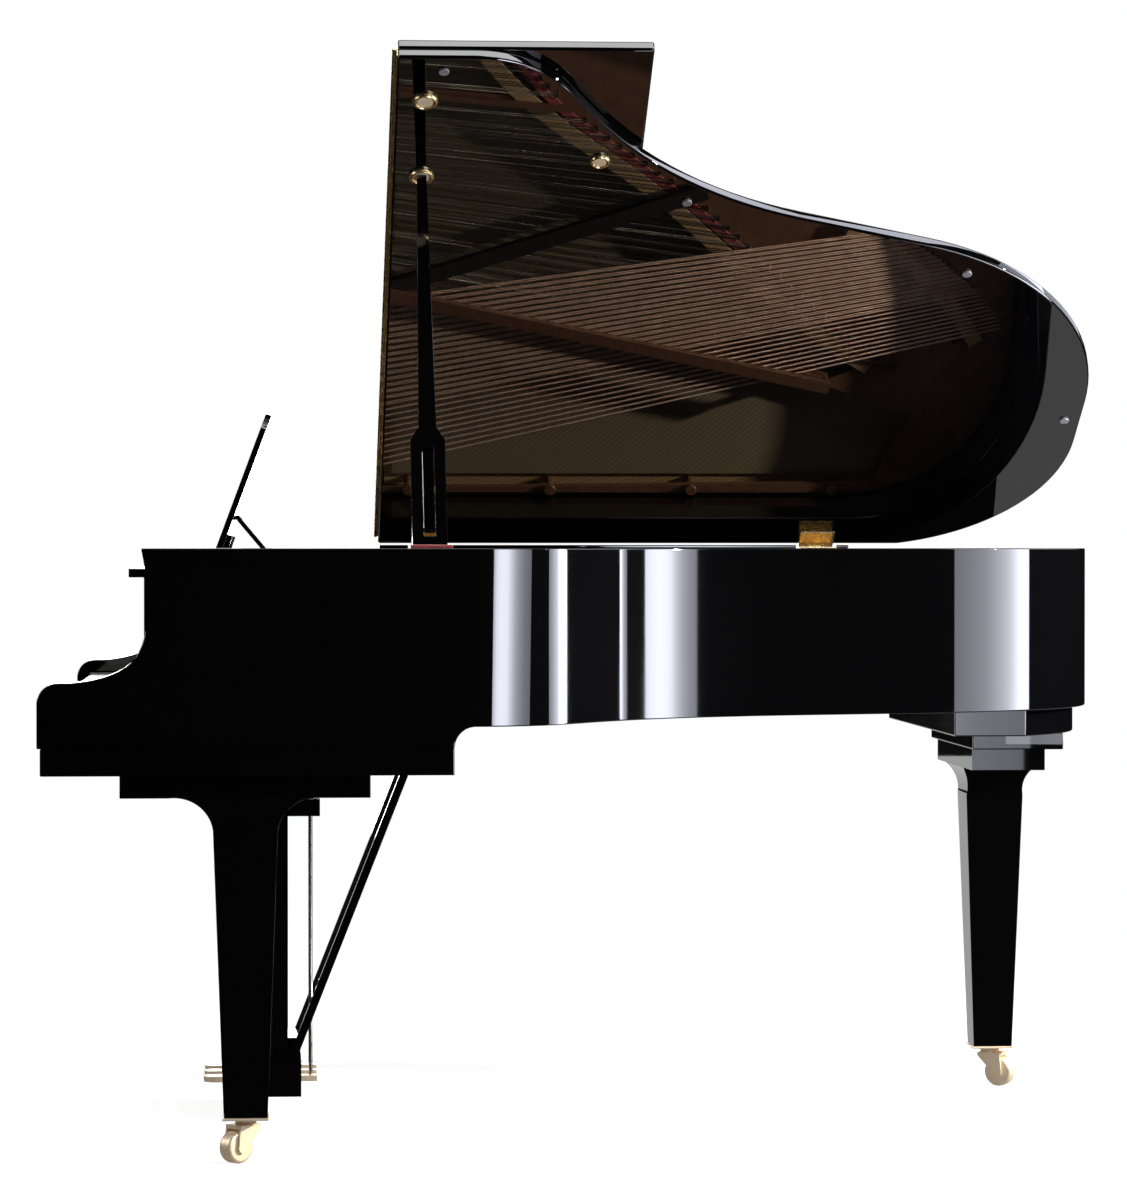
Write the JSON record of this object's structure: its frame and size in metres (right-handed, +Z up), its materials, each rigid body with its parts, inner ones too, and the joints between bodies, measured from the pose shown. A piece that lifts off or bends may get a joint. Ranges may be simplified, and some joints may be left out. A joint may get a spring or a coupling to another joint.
{
  "type": "grand piano",
  "caption": "Grand piano with a bent black case on square legs with casters, lid raised on a prop, folded front flap, music desk, keyboard and pedal lyre.",
  "frame": {"origin": "on the floor below the middle of the whole object, lid open", "axes": "+X from bass to treble, +Y from the player to the tail, +Z up"},
  "size_m": [1.5014, 1.858, 1.8082],
  "materials": {
    "lacquer": "polished black lacquer",
    "spruce": "varnished spruce",
    "maple": "satin maple",
    "bronze_plate": "bronze paint",
    "steel": "drawn steel",
    "copper": "copper winding",
    "felt_black": "black heads on felt",
    "brass": "polished",
    "key_white": "white key covers on wood",
    "key_black": "satin black"
  },
  "bodies": {
    "case": {"outer_rim": "lacquer", "inner_rim": "spruce", "key_bed": "lacquer", "key_slip": "lacquer", "key_blocks": "lacquer", "case_beams": "spruce", "tail_blocks": "lacquer", "pin_block": "spruce", "soundboard": "spruce", "bridges": "maple", "iron_plate": "bronze_plate", "plate_bolts": "bronze_plate", "string_pins": "steel", "plain_strings": "steel", "wound_strings": "copper", "desk_rails": "lacquer", "lid_hinge_fixed": "brass", "prop_bracket": "brass", "front_legs": "lacquer", "tail_leg": "lacquer", "caster_sockets": "brass", "lyre": "lacquer"},
    "action": {"key_frame": "maple", "hammers": "maple"},
    "key_c": {"keys_c": "key_white"},
    "key_c_sharp": {"keys_c_sharp": "key_black"},
    "key_d": {"keys_d": "key_white"},
    "key_d_sharp": {"keys_d_sharp": "key_black"},
    "key_e": {"keys_e": "key_white"},
    "key_f": {"keys_f": "key_white"},
    "key_f_sharp": {"keys_f_sharp": "key_black"},
    "key_g": {"keys_g": "key_white"},
    "key_g_sharp": {"keys_g_sharp": "key_black"},
    "key_a": {"keys_a": "key_white"},
    "key_a_sharp": {"keys_a_sharp": "key_black"},
    "key_b": {"keys_b": "key_white"},
    "damper_set": {"dampers": "felt_black"},
    "pedal_lever_left": {"pedal_left": "brass"},
    "rod_left": {"pedal_rod_left": "steel"},
    "pedal_lever_middle": {"pedal_middle": "brass"},
    "rod_middle": {"pedal_rod_middle": "steel"},
    "pedal_lever_right": {"pedal_right": "brass"},
    "rod_right": {"pedal_rod_right": "steel"},
    "lid": {"lid_main": "lacquer", "flap_hinge": "brass", "lid_hinge_moving": "brass", "prop_cups": "brass"},
    "flap": {"lid_flap": "lacquer"},
    "prop": {"prop_stick": "lacquer"},
    "short_prop": {"half_prop": "lacquer"},
    "fall": {"fallboard": "lacquer"},
    "tray": {"desk_tray": "lacquer"},
    "desk": {"desk_panel": "lacquer"},
    "strut": {"desk_strut": "lacquer"},
    "fork_treble": {"caster_fork_treble": "brass"},
    "wheel_treble": {"caster_wheel_treble": "brass"},
    "fork_tail": {"caster_fork_tail": "brass"},
    "wheel_tail": {"caster_wheel_tail": "brass"},
    "fork_bass": {"caster_fork_bass": "brass"},
    "wheel_bass": {"caster_wheel_bass": "brass"}
  },
  "joints": [
    {"name": "lid_swing", "type": "hinge", "parent": "case", "child": "lid", "pos_m": [-0.746, 0, 0.9845], "axis": [0, -1, 0], "range_deg": [0, 45]},
    {"name": "flap_fold", "type": "hinge", "parent": "lid", "child": "flap", "pos_m": [-0.12398, -0.364, 1.39688], "axis": [0.849, 0, 0.5284], "range_deg": [0, 180]},
    {"name": "prop_fold", "type": "hinge", "parent": "case", "child": "prop", "pos_m": [0.65, -0.311, 0.945], "axis": [-0.7279, -0.5288, -0.4365], "range_deg": [0, 71]},
    {"name": "short_prop_swing", "type": "hinge", "parent": "prop", "child": "short_prop", "pos_m": [0.60988, -0.311, 1.01189], "axis": [0, 1, 0], "range_deg": [0, 100]},
    {"name": "fallboard_close", "type": "hinge", "parent": "case", "child": "fall", "pos_m": [0, -0.758, 0.788], "axis": [1, 0, 0], "range_deg": [0, 90]},
    {"name": "desk_slide", "type": "slide", "parent": "case", "child": "tray", "axis": [0, 1, 0], "range_m": [-0.02, 0.06]},
    {"name": "desk_tilt", "type": "hinge", "parent": "tray", "child": "desk", "pos_m": [0, -0.64, 0.968], "axis": [-1, 0, 0], "range_deg": [0, 66]},
    {"name": "desk_strut_fold", "type": "hinge", "parent": "desk", "child": "strut", "pos_m": [0, -0.62005, 1.03313], "axis": [1, 0, 0], "range_deg": [0, 118]},
    {"name": "action_shift", "type": "slide", "parent": "case", "child": "action", "axis": [1, 0, 0], "range_m": [0, 0.00248]},
    {"name": "damper_lift", "type": "slide", "parent": "case", "child": "damper_set", "axis": [0, 0, 1], "range_m": [0, 0.009]},
    {"name": "key_press_c", "type": "hinge", "parent": "action", "child": "key_c", "pos_m": [0, -0.672, 0.722], "axis": [1, 0, 0], "range_deg": [0, 2.5], "stiffness_Nm_per_rad": 20, "springref_deg": -1.72},
    {"name": "key_press_c_sharp", "type": "hinge", "parent": "action", "child": "key_c_sharp", "pos_m": [0, -0.672, 0.722], "axis": [1, 0, 0], "range_deg": [0, 2.5], "stiffness_Nm_per_rad": 20, "springref_deg": -1.72},
    {"name": "key_press_d", "type": "hinge", "parent": "action", "child": "key_d", "pos_m": [0, -0.672, 0.722], "axis": [1, 0, 0], "range_deg": [0, 2.5], "stiffness_Nm_per_rad": 20, "springref_deg": -1.72},
    {"name": "key_press_d_sharp", "type": "hinge", "parent": "action", "child": "key_d_sharp", "pos_m": [0, -0.672, 0.722], "axis": [1, 0, 0], "range_deg": [0, 2.5], "stiffness_Nm_per_rad": 20, "springref_deg": -1.72},
    {"name": "key_press_e", "type": "hinge", "parent": "action", "child": "key_e", "pos_m": [0, -0.672, 0.722], "axis": [1, 0, 0], "range_deg": [0, 2.5], "stiffness_Nm_per_rad": 20, "springref_deg": -1.72},
    {"name": "key_press_f", "type": "hinge", "parent": "action", "child": "key_f", "pos_m": [0, -0.672, 0.722], "axis": [1, 0, 0], "range_deg": [0, 2.5], "stiffness_Nm_per_rad": 20, "springref_deg": -1.72},
    {"name": "key_press_f_sharp", "type": "hinge", "parent": "action", "child": "key_f_sharp", "pos_m": [0, -0.672, 0.722], "axis": [1, 0, 0], "range_deg": [0, 2.5], "stiffness_Nm_per_rad": 20, "springref_deg": -1.72},
    {"name": "key_press_g", "type": "hinge", "parent": "action", "child": "key_g", "pos_m": [0, -0.672, 0.722], "axis": [1, 0, 0], "range_deg": [0, 2.5], "stiffness_Nm_per_rad": 20, "springref_deg": -1.72},
    {"name": "key_press_g_sharp", "type": "hinge", "parent": "action", "child": "key_g_sharp", "pos_m": [0, -0.672, 0.722], "axis": [1, 0, 0], "range_deg": [0, 2.5], "stiffness_Nm_per_rad": 20, "springref_deg": -1.72},
    {"name": "key_press_a", "type": "hinge", "parent": "action", "child": "key_a", "pos_m": [0, -0.672, 0.722], "axis": [1, 0, 0], "range_deg": [0, 2.5], "stiffness_Nm_per_rad": 20, "springref_deg": -1.72},
    {"name": "key_press_a_sharp", "type": "hinge", "parent": "action", "child": "key_a_sharp", "pos_m": [0, -0.672, 0.722], "axis": [1, 0, 0], "range_deg": [0, 2.5], "stiffness_Nm_per_rad": 20, "springref_deg": -1.72},
    {"name": "key_press_b", "type": "hinge", "parent": "action", "child": "key_b", "pos_m": [0, -0.672, 0.722], "axis": [1, 0, 0], "range_deg": [0, 2.5], "stiffness_Nm_per_rad": 20, "springref_deg": -1.72},
    {"name": "pedal_press_left", "type": "hinge", "parent": "case", "child": "pedal_lever_left", "pos_m": [-0.078, -0.556, 0.07], "axis": [1, 0, 0], "range_deg": [0, 9.5], "stiffness_Nm_per_rad": 12, "springref_deg": -5.73},
    {"name": "pedal_rod_lift_left", "type": "slide", "parent": "case", "child": "rod_left", "axis": [0, 0, 1], "range_m": [0, 0.0125]},
    {"name": "pedal_press_middle", "type": "hinge", "parent": "case", "child": "pedal_lever_middle", "pos_m": [0, -0.556, 0.07], "axis": [1, 0, 0], "range_deg": [0, 9.5], "stiffness_Nm_per_rad": 12, "springref_deg": -5.73},
    {"name": "pedal_rod_lift_middle", "type": "slide", "parent": "case", "child": "rod_middle", "axis": [0, 0, 1], "range_m": [0, 0.0125]},
    {"name": "pedal_press_right", "type": "hinge", "parent": "case", "child": "pedal_lever_right", "pos_m": [0.078, -0.556, 0.07], "axis": [1, 0, 0], "range_deg": [0, 9.5], "stiffness_Nm_per_rad": 12, "springref_deg": -5.73},
    {"name": "pedal_rod_lift_right", "type": "slide", "parent": "case", "child": "rod_right", "axis": [0, 0, 1], "range_m": [0, 0.0125]},
    {"name": "caster_swivel_treble", "type": "hinge", "parent": "case", "child": "fork_treble", "pos_m": [0.6, -0.605, 0.06], "axis": [0, 0, 1], "continuous": true},
    {"name": "caster_roll_treble", "type": "hinge", "parent": "fork_treble", "child": "wheel_treble", "pos_m": [0.61286, -0.62032, 0.026], "axis": [0.766, 0.6428, 0], "continuous": true},
    {"name": "caster_swivel_tail", "type": "hinge", "parent": "case", "child": "fork_tail", "pos_m": [-0.3, 0.748, 0.06], "axis": [0, 0, 1], "continuous": true},
    {"name": "caster_roll_tail", "type": "hinge", "parent": "fork_tail", "child": "wheel_tail", "pos_m": [-0.29, 0.76532, 0.026], "axis": [-0.866, 0.5, 0], "continuous": true},
    {"name": "caster_swivel_bass", "type": "hinge", "parent": "case", "child": "fork_bass", "pos_m": [-0.6, -0.605, 0.06], "axis": [0, 0, 1], "continuous": true},
    {"name": "caster_roll_bass", "type": "hinge", "parent": "fork_bass", "child": "wheel_bass", "pos_m": [-0.58853, -0.62138, 0.026], "axis": [0.8192, 0.5736, 0], "continuous": true}
  ],
  "couplings": [
    {"joint": "desk_strut_fold", "follows": "desk_tilt", "ratio": 1.757},
    {"joint": "pedal_press_left", "follows": "action_shift", "rad_per_m": 66.667},
    {"joint": "damper_lift", "follows": "pedal_press_right", "m_per_rad": 0.045},
    {"joint": "pedal_rod_lift_left", "follows": "action_shift", "ratio": 4.6667},
    {"joint": "pedal_rod_lift_middle", "follows": "pedal_press_middle", "m_per_rad": 0.07},
    {"joint": "pedal_rod_lift_right", "follows": "pedal_press_right", "m_per_rad": 0.07}
  ]
}
